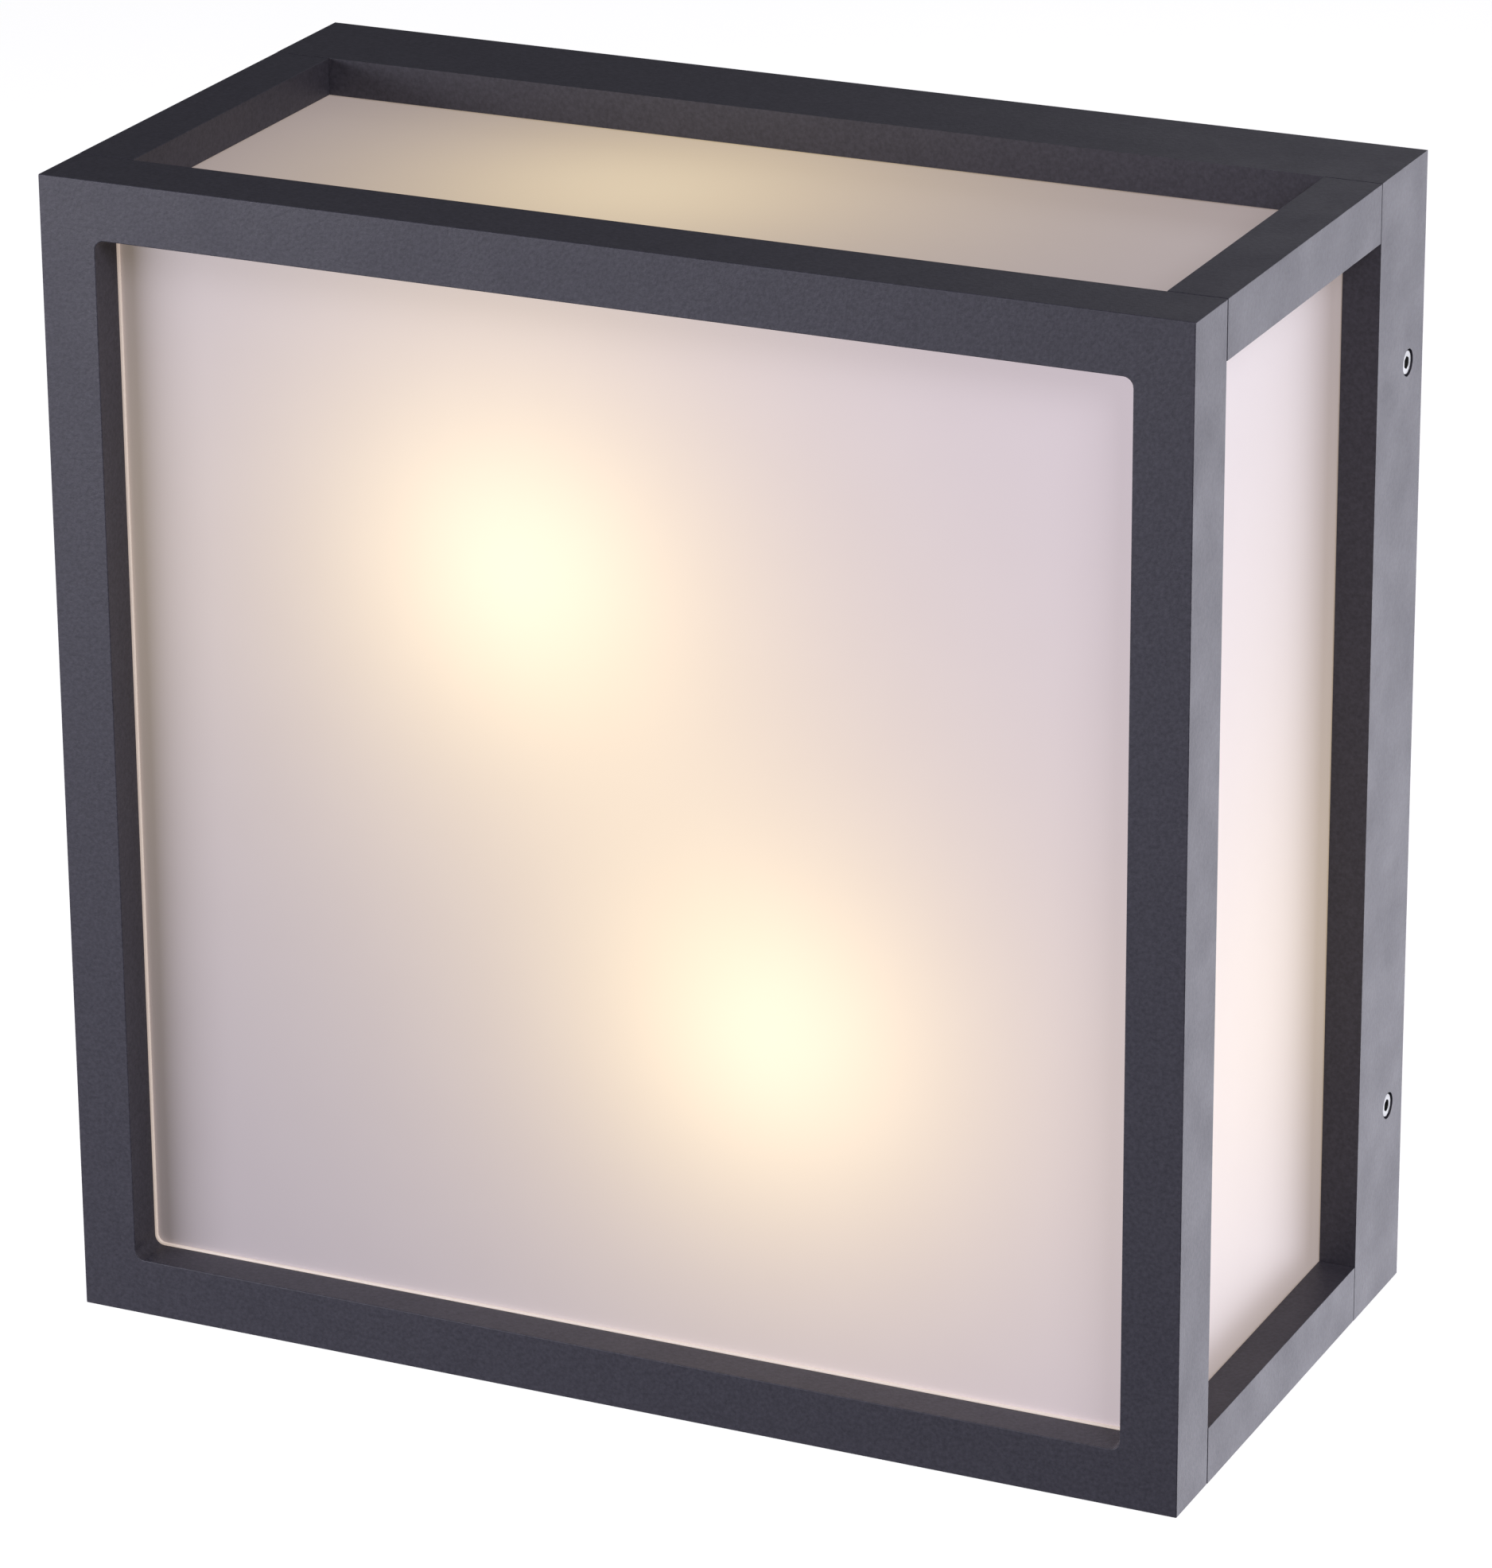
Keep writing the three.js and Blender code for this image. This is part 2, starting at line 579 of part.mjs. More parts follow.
function lampCap() {
  const z = (height) => LAMP_END + height;
  return turned([
    [0, z(1.9)], [5.2, z(1.9)], [9.5, z(4.2)], [12.2, z(5.2)], [13, z(6.4)], [13, z(25)], [0, z(25)],
  ]);
}

function lampCollar() {
  const z = (height) => LAMP_END + height;
  return turned([
    [0, z(25.3)], [13.4, z(25.3)], [14.2, z(28)], [16.4, z(38)], [19.6, z(48)], [22.6, z(55)],
    [24.2, z(60)], [0, z(60)],
  ]);
}

function lampGlobe() {
  const start = Math.asin((LAMP_END + 60.3 - GLOBE_CENTRE) / GLOBE_RADIUS);
  const inner = GLOBE_RADIUS - 1.2;
  const innerStart = Math.asin((LAMP_END + 60.3 - GLOBE_CENTRE) / inner);
  const outside = arc(GLOBE_RADIUS, GLOBE_CENTRE, start, Math.PI / 2, 8);
  const inside = arc(inner, GLOBE_CENTRE, Math.PI / 2, innerStart, 5);
  outside[outside.length - 1][0] = 0;
  inside[0][0] = 0;
  return turned([...inside, ...outside]);
}

function lampUnit(tag) {
  const unit = new THREE.Group();
  unit.add(
    piece(`bracket_${tag}`, 'zinc', bracket()),
    piece(`holder_bolt_${tag}`, 'zinc', holderBolt()),
    piece(`holder_body_${tag}`, 'porcelain', holderBody()),
    piece(`holder_shell_${tag}`, 'nickel', holderShell()),
    piece(`holder_contact_${tag}`, 'brass', holderContact()),
    piece(`lamp_contact_${tag}`, 'zinc', lampContact()),
    piece(`lamp_cap_${tag}`, 'nickel', lampCap()),
    piece(`lamp_collar_${tag}`, 'lamp_white', lampCollar()),
    piece(`lamp_globe_${tag}`, 'globe', lampGlobe()),
  );
  return unit;
}

// ---------------------------------------------------------------- assembly

function cover() {
  const group = new THREE.Group();
  const face = DEPTH - DIFFUSER_RECESS + 0.05;
  const gasket = ring(DIFFUSER_HALF, 1.4, HALF - BAR - GASKET_SHOWS, 2, face, face + GASKET);
  group.add(
    piece('front_ring', 'graphite_coat', frontRing()),
    piece('rear_ring', 'graphite_coat', rearRing()),
    piece('diffuser', 'opal', diffuser()),
    piece('diffuser_gasket', 'silicone', gasket),
    piece('cover_seal', 'sealing', ring(128.3, 8, 124.3, 4, TRAY_RIM + 0.2, FLANGE_BACK - 0.1)),
  );
  for (const [name, sx, sz] of CORNERS) {
    group.add(
      piece(`corner_post_${name}`, 'graphite_coat', cornerPost(sx, sz)),
      piece(`corner_clamp_${name}`, 'zinc', cornerClamp(sx, sz)),
      piece(`tie_screw_${name}`, 'stainless', tieScrew(sx, sz)),
    );
  }
  for (const [name, sx, sz] of CORNERS) {
    const fixing = new THREE.Group();
    fixing.position.set(0, SIDE_SCREW_Y, sz * SIDE_SCREW_Z);
    fixing.rotation.z = sx > 0 ? 0 : Math.PI;
    fixing.add(
      piece(`side_screw_${name}`, 'stainless', sideScrew()),
      piece(`side_oring_${name}`, 'sealing', sideORing()),
    );
    group.add(fixing);
  }
  return group;
}

function base() {
  const group = new THREE.Group();
  const wires = leads();
  group.add(
    piece('wall_pad', 'sealing', wallPad()),
    piece('tray', 'graphite_coat', tray()),
    piece('cable_grommet', 'sealing', grommet()),
    piece('terminal_block', 'block_white', terminalBlock()),
    piece('earth_screw', 'stainless', earthScrew()),
    piece('earth_washer', 'zinc', earthWasher()),
    piece('earth_lead', 'earth_lead', earthLead()),
    piece('neutral_lead_a', 'blue_lead', wires.neutralA),
    piece('live_lead_a', 'brown_lead', wires.liveA),
    piece('neutral_lead_b', 'blue_lead', wires.neutralB),
    piece('live_lead_b', 'brown_lead', wires.liveB),
    piece('reflector', 'white_coat', reflector()),
  );
  BRACKET_HOLES.forEach((at, i) => {
    group.add(piece(`bracket_screw_${'aabb'[i]}${(i % 2) + 1}`, 'zinc', bracketScrew(at)));
  });
  const unitA = lampUnit('a');
  unitA.position.set(-LAMP_X, LAMP_Y, 0);
  const unitB = lampUnit('b');
  unitB.position.set(LAMP_X, LAMP_Y, 0);
  unitB.rotation.y = Math.PI;
  group.add(unitA, unitB);
  return group;
}

const lantern = new THREE.Group();
lantern.add(cover(), base());

export default lantern;
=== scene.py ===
"""Outdoor wall lantern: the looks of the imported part, in metres, in its own frame."""
import json
import math

import bmesh
import bpy
from mathutils import Matrix, Vector


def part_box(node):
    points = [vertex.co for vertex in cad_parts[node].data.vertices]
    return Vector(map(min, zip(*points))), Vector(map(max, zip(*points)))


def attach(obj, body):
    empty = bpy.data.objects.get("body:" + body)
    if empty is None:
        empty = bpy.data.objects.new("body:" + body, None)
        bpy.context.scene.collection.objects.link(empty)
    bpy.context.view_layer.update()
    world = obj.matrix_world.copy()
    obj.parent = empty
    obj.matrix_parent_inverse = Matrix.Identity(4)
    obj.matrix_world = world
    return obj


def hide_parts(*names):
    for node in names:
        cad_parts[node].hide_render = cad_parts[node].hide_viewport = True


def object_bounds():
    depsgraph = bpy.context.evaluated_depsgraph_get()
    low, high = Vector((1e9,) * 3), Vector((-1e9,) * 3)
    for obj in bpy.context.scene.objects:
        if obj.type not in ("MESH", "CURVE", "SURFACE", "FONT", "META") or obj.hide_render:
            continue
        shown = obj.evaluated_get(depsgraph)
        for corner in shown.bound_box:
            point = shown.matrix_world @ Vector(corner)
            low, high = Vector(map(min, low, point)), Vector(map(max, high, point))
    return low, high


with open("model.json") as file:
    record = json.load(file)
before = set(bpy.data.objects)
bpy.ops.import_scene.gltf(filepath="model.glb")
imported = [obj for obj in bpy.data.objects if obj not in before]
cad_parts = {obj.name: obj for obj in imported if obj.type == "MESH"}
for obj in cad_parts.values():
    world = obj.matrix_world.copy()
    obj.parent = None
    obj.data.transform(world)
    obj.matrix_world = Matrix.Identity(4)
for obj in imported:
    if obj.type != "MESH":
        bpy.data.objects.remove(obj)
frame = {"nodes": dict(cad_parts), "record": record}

CAD_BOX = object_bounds()
CORNERS = ("upper_left", "upper_right", "lower_left", "lower_right")
LAMPS = {"a": 1, "b": -1}         # 1 where the globe is above its cap, -1 where it hangs below
BODY_OF = {node: body for body, nodes in frame["record"]["behaviour"]["bodies"].items() for node in nodes}
SLOT_OF = {part["node"]: part["material_slot"] for part in frame["record"]["subparts"]}

# ------------------------------------------------------------------ camera, floor and light

CAMERA_AT = Vector((0.6464, -1.4519, 0.5751))
CAMERA_AZIMUTH, CAMERA_ELEVATION, CAMERA_ROLL = 25.0, 20.98, -0.41
CAMERA_LENS = 166.7
CAMERA_NEAR, CAMERA_FAR = 0.05, 50
WORLD_COLOR = (0.92, 0.92, 1.0, 1)
WORLD_STRENGTH = 0.12
FLOOR_HALF = 12.0
FLOOR_GAP = 0.0003                # the floor's distance below the part
FLOOR_COLOR = (0.9, 0.9, 0.9)
FLOOR_ROUGHNESS = 0.9
FLOOR_GLOW = 0.8

# where each softbox stands, the point it faces, its width and height, its watts and its colour
SOFTBOXES = {
    "right_rear_softbox": ((0.95, 1.3, -0.60), (0.13, -0.07, 0.0), (1.5, 1.4), 24, (0.91, 0.90, 1.0)),
    "right_softbox": ((1.3, -0.1, 0.05), (0.13, -0.07, 0.0), (0.8, 0.5), 1.2, (0.91, 0.90, 1.0)),
    "left_front_softbox": ((-0.80, -0.95, 0.12), (0.0, -0.13, 0.08), (0.9, 0.5), 10.6, (0.94, 0.92, 1.0)),
    "key_softbox": ((0.95, -0.85, 0.85), (0.0, -0.13, 0.0), (0.6, 0.6), 8.0, (1.0, 0.96, 1.0)),
    "top_rear_softbox": ((-0.05, 0.95, 0.62), (0.05, -0.07, 0.13), (0.5, 0.4), 0.6, (0.94, 0.93, 1.0)),
}


def add_camera():
    data = bpy.data.cameras.new("camera")
    data.lens = CAMERA_LENS
    data.clip_start, data.clip_end = CAMERA_NEAR, CAMERA_FAR
    camera = bpy.data.objects.new("camera", data)
    turn = Matrix.Rotation(math.radians(CAMERA_AZIMUTH), 4, "Z")
    tilt = Matrix.Rotation(math.radians(90 - CAMERA_ELEVATION), 4, "X")
    roll = Matrix.Rotation(math.radians(CAMERA_ROLL), 4, "Z")
    camera.matrix_world = Matrix.Translation(CAMERA_AT) @ turn @ tilt @ roll
    bpy.context.collection.objects.link(camera)
    bpy.context.scene.camera = camera


def add_softbox(name, at, target, size, power, color):
    data = bpy.data.lights.new(name, "AREA")
    data.shape = "RECTANGLE"
    data.size, data.size_y = size
    data.energy = power
    data.color = color
    light = bpy.data.objects.new(name, data)
    light.location = at
    light.rotation_mode = "QUATERNION"
    light.rotation_quaternion = (Vector(target) - Vector(at)).to_track_quat("-Z", "Y")
    bpy.context.collection.objects.link(light)


def add_studio():
    world = bpy.data.worlds.new("studio")
    bpy.context.scene.world = world
    world.use_nodes = True
    background = world.node_tree.nodes["Background"]
    background.inputs["Color"].default_value = WORLD_COLOR
    background.inputs["Strength"].default_value = WORLD_STRENGTH
    for name, softbox in SOFTBOXES.items():
        add_softbox(name, *softbox)


def floor_white():
    material, _, shader = new_material("floor_white")
    shader.inputs["Emission Color"].default_value = (1, 1, 1, 1)
    shader.inputs["Emission Strength"].default_value = FLOOR_GLOW
    shader.inputs["Base Color"].default_value = (*FLOOR_COLOR, 1)
    shader.inputs["Roughness"].default_value = FLOOR_ROUGHNESS
    return material


def add_floor():
    """A white floor that the camera sees, and that neither lights the lantern nor shades it."""
    low = CAD_BOX[0].z - FLOOR_GAP
    half = FLOOR_HALF
    mesh = bpy.data.meshes.new("floor")
    corners = [(-half, -half, low), (half, -half, low), (half, half, low), (-half, half, low)]
    mesh.from_pydata(corners, [], [(0, 1, 2, 3)])
    floor = bpy.data.objects.new("floor", mesh)
    bpy.context.collection.objects.link(floor)
    floor.data.materials.append(floor_white())
    floor.visible_diffuse = False
    floor.visible_glossy = False
    floor.visible_shadow = False


# ------------------------------------------------------------------ shader building blocks

NOISE_MIDDLE = (0.3, 0.7)         # a noise value's usual range
NOISE_ROUGHNESS = 0.6
COARSE_DETAIL, FINE_DETAIL = 2.0, 3.0


def new_material(name):
    material = bpy.data.materials.new(name)
    material.use_nodes = True
    tree = material.node_tree
    return material, tree, tree.nodes["Principled BSDF"]


def node(tree, kind, values=None, **settings):
    made = tree.nodes.new(kind)
    for key, value in settings.items():
        setattr(made, key, value)
    for key, value in (values or {}).items():
        made.inputs[key].default_value = value
    return made


def noise(tree, scale, detail):
    """Noise in metres, fixed to the piece."""
    place = node(tree, "ShaderNodeTexCoord")
    mapping = node(tree, "ShaderNodeMapping", {"Scale": (scale, scale, scale)})
    look = {"Scale": 1.0, "Detail": detail, "Roughness": NOISE_ROUGHNESS}
    pattern = node(tree, "ShaderNodeTexNoise", look)
    tree.links.new(place.outputs["Object"], mapping.inputs["Vector"])
    tree.links.new(mapping.outputs["Vector"], pattern.inputs["Vector"])
    return pattern.outputs["Fac"]


def spread(tree, value, low, high):
    """A noise value opened out from its usual middle range to low..high."""
    ranges = {"From Min": NOISE_MIDDLE[0], "From Max": NOISE_MIDDLE[1], "To Min": low, "To Max": high}
    ranged = node(tree, "ShaderNodeMapRange", ranges)
    tree.links.new(value, ranged.inputs["Value"])
    return ranged.outputs["Result"]


def blend_color(tree, factor, first, second):
    mix = node(tree, "ShaderNodeMix", data_type="RGBA")
    mix.inputs["A"].default_value = (*first, 1)
    mix.inputs["B"].default_value = (*second, 1)
    tree.links.new(factor, mix.inputs["Factor"])
    return mix.outputs["Result"]


def roughen(tree, shader, height, strength, depth):
    """Bump of a depth in metres."""
    bump = node(tree, "ShaderNodeBump", {"Strength": strength, "Distance": depth})
    tree.links.new(height, bump.inputs["Height"])
    tree.links.new(bump.outputs["Normal"], shader.inputs["Normal"])


def surface(name, colors, roughness, grain, depth, metallic=0.0, **sockets):
    """A material whose colour, roughness and height vary over noise of two sizes.

    colors and roughness are (low, high), grain is (coarse, fine) scales per metre, and depth is in metres.
    """
    material, tree, shader = new_material(name)
    shader.inputs["Metallic"].default_value = metallic
    for key, value in sockets.items():
        shader.inputs[key.replace("_", " ")].default_value = value
    coarse = noise(tree, grain[0], COARSE_DETAIL)
    fine = noise(tree, grain[1], FINE_DETAIL)
    tree.links.new(blend_color(tree, spread(tree, fine, 0, 1), *colors), shader.inputs["Base Color"])
    tree.links.new(spread(tree, coarse, *roughness), shader.inputs["Roughness"])
    roughen(tree, shader, fine, 1.0, depth)
    return material


def maths(tree, operation, first, second=None, vector=False):
    """A math node whose inputs are sockets or constants."""
    made = node(tree, "ShaderNodeVectorMath" if vector else "ShaderNodeMath", operation=operation)
    for index, value in enumerate((first, second)):
        if isinstance(value, bpy.types.NodeSocket):
            tree.links.new(value, made.inputs[index])
        elif value is not None:
            made.inputs[index].default_value = value
    gives_vector = vector and operation not in ("DOT_PRODUCT", "LENGTH")
    return made.outputs["Vector" if gives_vector else "Value"]


def tinted(tree, value, color):
    """A colour scaled by a value."""
    scaled = node(tree, "ShaderNodeVectorMath", operation="SCALE")
    scaled.inputs[0].default_value = color
    tree.links.new(value, scaled.inputs["Scale"])
    return scaled.outputs["Vector"]


# ------------------------------------------------------------------ opal box

# The glow of the opal box is painted light: emission worked out from where the globes stand, not light let
# through the sheet.
GLOW_HALO = (0.60, 0.44, 0.09)    # light of one lamp on the sheet straight in front of it
GLOW_CORE = (0.0, 0.05, 0.13)     # what whitens the middle of that halo
CORE_FALL = 3.0                   # the core is the halo to this power
GLOW_FILL = (0.175, 0.148, 0.17)  # light from the white box behind, at the middle of the front sheet
FILL_SLOPE = (4.6, 0.0, 1.2)      # part of itself by which the fill grows a metre across the front sheet
GLOW_LEAN = Vector((0.004, 0.005, 0.006))   # from a globe's centre to the centre of its glow
SIDE_HALO = 0.85                  # halo on the side sheets, as a part of the front's
FRONTWARD = (0.0, 1.0, 0.0)
OPAL_COLORS = (0.465, 0.435, 0.475), (0.475, 0.445, 0.485)
OPAL_MOTTLE, OPAL_GRAIN = 35, 900           # noise scales per metre
OPAL_BUMP, OPAL_BUMP_DEPTH = 0.4, 0.00001


def lamp_centre(tag):
    """Centre of a lamp's round globe."""
    low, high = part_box(f"lamp_globe_{tag}")
    radius = (high.x - low.x) / 2
    middle = (low + high) / 2
    middle.z = high.z - radius if LAMPS[tag] > 0 else low.z + radius
    return middle


def lamp_light(tree, place, centre, reach):
    """Light of one lamp on the sheet: the cosine over the distance squared, 1 straight in front of it."""
    away = maths(tree, "SUBTRACT", place.outputs["Object"], centre, vector=True)
    length = maths(tree, "LENGTH", away, vector=True)
    facing = maths(tree, "DOT_PRODUCT", away, place.outputs["Normal"], vector=True)
    upright = maths(tree, "MULTIPLY", maths(tree, "ABSOLUTE", facing), reach ** 2)
    return maths(tree, "DIVIDE", upright, maths(tree, "POWER", length, 3.0))


def painted_lamps_glow(tree, place, ahead):
    """Painted halo and core of both lamps. ahead is 1 on the front sheet and 0 on the side sheets."""
    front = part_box("diffuser")[0].y
    lights = []
    for tag in LAMPS:
        centre = lamp_centre(tag) + GLOW_LEAN
        lights.append(lamp_light(tree, place, centre, centre.y - front))
    share = maths(tree, "ADD", maths(tree, "MULTIPLY", ahead, 1 - SIDE_HALO), SIDE_HALO)
    halo = maths(tree, "MULTIPLY", maths(tree, "ADD", *lights), share)
    core = maths(tree, "ADD", *(maths(tree, "POWER", light, CORE_FALL) for light in lights))
    return maths(tree, "ADD", tinted(tree, halo, GLOW_HALO), tinted(tree, core, GLOW_CORE), vector=True)


def painted_box_fill(tree, place, ahead):
    """Painted soft light from the white box. It slopes across the front sheet and is even on the side
    sheets.
    """
    slope = maths(tree, "DOT_PRODUCT", place.outputs["Object"], FILL_SLOPE, vector=True)
    return tinted(tree, maths(tree, "ADD", maths(tree, "MULTIPLY", slope, ahead), 1.0), GLOW_FILL)


def opal_acrylic():
    """Opal acrylic, with the lamps' light from inside painted on as emission."""
    material, tree, shader = new_material("opal_acrylic")
    shader.inputs["Roughness"].default_value = 0.4
    shader.inputs["IOR"].default_value = 1.49
    shader.inputs["Specular IOR Level"].default_value = 0.3
    mottle = spread(tree, noise(tree, OPAL_MOTTLE, COARSE_DETAIL), 0, 1)
    tree.links.new(blend_color(tree, mottle, *OPAL_COLORS), shader.inputs["Base Color"])
    roughen(tree, shader, noise(tree, OPAL_GRAIN, COARSE_DETAIL), OPAL_BUMP, OPAL_BUMP_DEPTH)
    place = node(tree, "ShaderNodeTexCoord")
    facing = maths(tree, "DOT_PRODUCT", place.outputs["Normal"], FRONTWARD, vector=True)
    ahead = maths(tree, "ABSOLUTE", facing)
    light = maths(tree, "ADD", painted_lamps_glow(tree, place, ahead), painted_box_fill(tree, place, ahead), vector=True)
    tree.links.new(light, shader.inputs["Emission Color"])
    shader.inputs["Emission Strength"].default_value = 1.0
    return material


# ------------------------------------------------------------------ other materials


def graphite_powder_coat():
    return surface("graphite_powder_coat", ((0.038, 0.037, 0.051), (0.063, 0.061, 0.081)), (0.48, 0.54),
                   (60, 1100), 0.00006, Specular_IOR_Level=0.45)


def clear_silicone():
    """Clear silicone, with a little of the lamps' light at its edge painted on as a warm glow."""
    return surface("clear_silicone", ((0.55, 0.55, 0.53), (0.6, 0.6, 0.58)), (0.5, 0.6), (60, 400), 0.00002,
                   Emission_Color=(1.0, 0.78, 0.64, 1.0), Emission_Strength=0.38)


def black_epdm():
    return surface("black_epdm", ((0.012, 0.012, 0.013), (0.022, 0.022, 0.024)), (0.75, 0.9), (90, 1200),
                   0.00008)


def stainless_steel():
    return surface("stainless_steel", ((0.15, 0.155, 0.15), (0.24, 0.245, 0.235)), (0.3, 0.42), (300, 2500),
                   0.00001, metallic=1.0)


def zinc_plate():
    return surface("zinc_plate", ((0.46, 0.48, 0.5), (0.62, 0.63, 0.64)), (0.28, 0.45), (120, 900), 0.00001,
                   metallic=1.0)


def white_paint():
    return surface("white_paint", ((0.78, 0.78, 0.77), (0.82, 0.82, 0.81)), (0.4, 0.48), (90, 1500), 0.00003)


def glazed_porcelain():
    return surface("glazed_porcelain", ((0.74, 0.72, 0.67), (0.79, 0.77, 0.72)), (0.12, 0.2), (60, 500),
                   0.00002, Coat_Weight=0.5)


def nickel_plate():
    return surface("nickel_plate", ((0.55, 0.52, 0.46), (0.68, 0.65, 0.58)), (0.18, 0.3), (200, 2000),
                   0.00001, metallic=1.0)


def brass():
    return surface("brass", ((0.55, 0.38, 0.12), (0.68, 0.49, 0.18)), (0.22, 0.36), (200, 1800), 0.00001,
                   metallic=1.0)


def milky_globe():
    return surface("milky_globe", ((0.85, 0.82, 0.76), (0.88, 0.85, 0.79)), (0.35, 0.42), (50, 500), 0.00001,
                   Emission_Color=(1.0, 0.78, 0.5, 1), Emission_Strength=0.55)


def lamp_housing():
    return surface("lamp_housing", ((0.8, 0.8, 0.78), (0.84, 0.84, 0.82)), (0.3, 0.38), (70, 700), 0.00001)


def insulation(name, first, second):
    """PVC insulation of a lead."""
    return surface(name, (first, second), (0.4, 0.5), (200, 900), 0.00001)


def block_moulding():
    return surface("block_moulding", ((0.7, 0.68, 0.6), (0.75, 0.73, 0.65)), (0.42, 0.5), (80, 700), 0.00002)


def all_materials():
    """The material of each slot."""
    return {
        "graphite_coat": graphite_powder_coat(),
        "opal": opal_acrylic(),
        "silicone": clear_silicone(),
        "sealing": black_epdm(),
        "stainless": stainless_steel(),
        "zinc": zinc_plate(),
        "white_coat": white_paint(),
        "porcelain": glazed_porcelain(),
        "nickel": nickel_plate(),
        "brass": brass(),
        "globe": milky_globe(),
        "lamp_white": lamp_housing(),
        "brown_lead": insulation("brown_insulation", (0.09, 0.035, 0.015), (0.12, 0.045, 0.02)),
        "blue_lead": insulation("blue_insulation", (0.02, 0.11, 0.38), (0.03, 0.14, 0.45)),
        "earth_lead": insulation("earth_insulation", (0.16, 0.36, 0.02), (0.2, 0.42, 0.03)),
        "block_white": block_moulding(),
    }


def dress(piece, name):
    """The piece takes the material and the body of a CAD node, and stands for it."""
    slot = SLOT_OF[name]
    piece.data.materials.clear()
    piece.data.materials.append(MATERIALS[slot])
    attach(piece, BODY_OF[name])
    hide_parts(name)


# ------------------------------------------------------------------ CAD shapes with rounded edges

WELD = 2e-6                       # points nearer than this are one
FLAT_ANGLE = math.radians(1)      # faces that turn by less are merged
EDGE_ANGLE = math.radians(35)     # edges that turn by more are rounded
EDGE_SEGMENTS = 2
FLAT_WEIGHT = 100                 # how much large faces decide the shading beside a rounding

# width of the rounding on each node, on each corner's nodes and on each lamp's nodes
EDGES = {
    "front_ring": 0.00025, "rear_ring": 0.00025, "tray": 0.0004, "reflector": 0.0003, "diffuser": 0.0008,
    "terminal_block": 0.0004, "wall_pad": 0.0004, "cable_grommet": 0.0003, "cover_seal": 0.0003,
    "diffuser_gasket": 0.0001, "earth_screw": 0.0002, "earth_washer": 0.0001,
}
CORNER_EDGES = {
    "corner_post": 0.00015, "corner_clamp": 0.0002, "tie_screw": 0.0002, "side_screw": 0.0002,
    "side_oring": 0.0002,
}
LAMP_EDGES = {"bracket": 0.0003, "holder_bolt": 0.0003, "holder_contact": 0.0001}
BRACKET_SCREW_EDGE = 0.0002


def merged(source):
    """A copy of a mesh with its flat faces merged and smooth shading."""
    mesh = source.copy()
    mesh.materials.clear()
    shape = bmesh.new()
    shape.from_mesh(mesh)
    bmesh.ops.remove_doubles(shape, verts=shape.verts, dist=WELD)
    bmesh.ops.dissolve_limit(shape, angle_limit=FLAT_ANGLE, verts=shape.verts, edges=shape.edges)
    for face in shape.faces:
        face.smooth = True
    shape.to_mesh(mesh)
    shape.free()
    return mesh


def add_refined(name, width):
    """A CAD node with its hard edges rounded off, and its flats still shaded flat."""
    piece = bpy.data.objects.new(f"{name}_finished", merged(frame["nodes"][name].data))
    bpy.context.collection.objects.link(piece)
    bevel = piece.modifiers.new("edges", "BEVEL")
    bevel.width = width
    bevel.segments = EDGE_SEGMENTS
    bevel.limit_method = "ANGLE"
    bevel.angle_limit = EDGE_ANGLE
    bevel.harden_normals = True
    bevel.miter_outer = "MITER_ARC"
    flats = piece.modifiers.new("flats", "WEIGHTED_NORMAL")
    flats.weight = FLAT_WEIGHT
    dress(piece, name)


def add_all_refined():
    for name, width in EDGES.items():
        add_refined(name, width)
    for corner in CORNERS:
        for kind, width in CORNER_EDGES.items():
            add_refined(f"{kind}_{corner}", width)
    for tag in LAMPS:
        for kind, width in LAMP_EDGES.items():
            add_refined(f"{kind}_{tag}", width)
        for number in (1, 2):
            add_refined(f"bracket_screw_{tag}{number}", BRACKET_SCREW_EDGE)


# ------------------------------------------------------------------ turned shapes

SIDES = 96                        # sides of a turned piece
CONTACT_SIDES = 48
HAIR = 0.00002                    # a turned piece stops this far inside the CAD node's ends
AXIS = 0.0001                     # radius of the small cap at the middle of a closed end
SHARP_ANGLE = math.radians(60)


def new_piece(name, points, faces):
    """A mesh piece with smooth faces, and sharp edges where it turns hard."""
    mesh = bpy.data.meshes.new(name)
    mesh.from_pydata(points, [], faces)
    mesh.update()
    for face in mesh.polygons:
        face.use_smooth = True
    mesh.set_sharp_from_angle(angle=SHARP_ANGLE)
    piece = bpy.data.objects.new(name, mesh)
    bpy.context.collection.objects.link(piece)
    return piece


def swept(name, rings, closed):
    """Rings of points joined into a skin, which is closed into a loop or else capped at both ends."""
    sides = len(rings[0])
    points = [point for ring in rings for point in ring]
    spans = len(rings) if closed else len(rings) - 1
    faces = []
    for i in range(spans):
        near, far = i * sides, (i + 1) % len(rings) * sides
        faces += [(near + k, near + (k + 1) % sides, far + (k + 1) % sides, far + k) for k in range(sides)]
    if not closed:
        faces.append(tuple(reversed(range(sides))))
        faces.append(tuple(range((len(rings) - 1) * sides, len(rings) * sides)))
    return new_piece(name, points, faces)


def lamp_frame(tag):
    """Turns a radius, an angle and a height along a lamp's own axis into a point of the shared frame."""
    centre = lamp_centre(tag)
    up = LAMPS[tag]

    def at(radius, angle, height):
        return (centre.x + up * radius * math.cos(angle), centre.y + radius * math.sin(angle), up * height)
    return at


def angles(sides):
    return [2 * math.pi * k / sides for k in range(sides)]


def round_ring(at, radius, height, sides=SIDES):
    return [at(radius, angle, height) for angle in angles(sides)]


def turned(name, tag, profile, closed=False, sides=SIDES):
    """A profile of (radius, height) points turned about a lamp's axis."""
    at = lamp_frame(tag)
    return swept(name, [round_ring(at, radius, height, sides) for radius, height in profile], closed)


def ends(name, tag):
    """The lower and upper height of a CAD node along its lamp's own axis."""
    low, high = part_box(name)
    return sorted((low.z * LAMPS[tag], high.z * LAMPS[tag]))


def inner_ends(name, tag):
    """Those heights, a hair inside the node."""
    bottom, top = ends(name, tag)
    return bottom + HAIR, top - HAIR


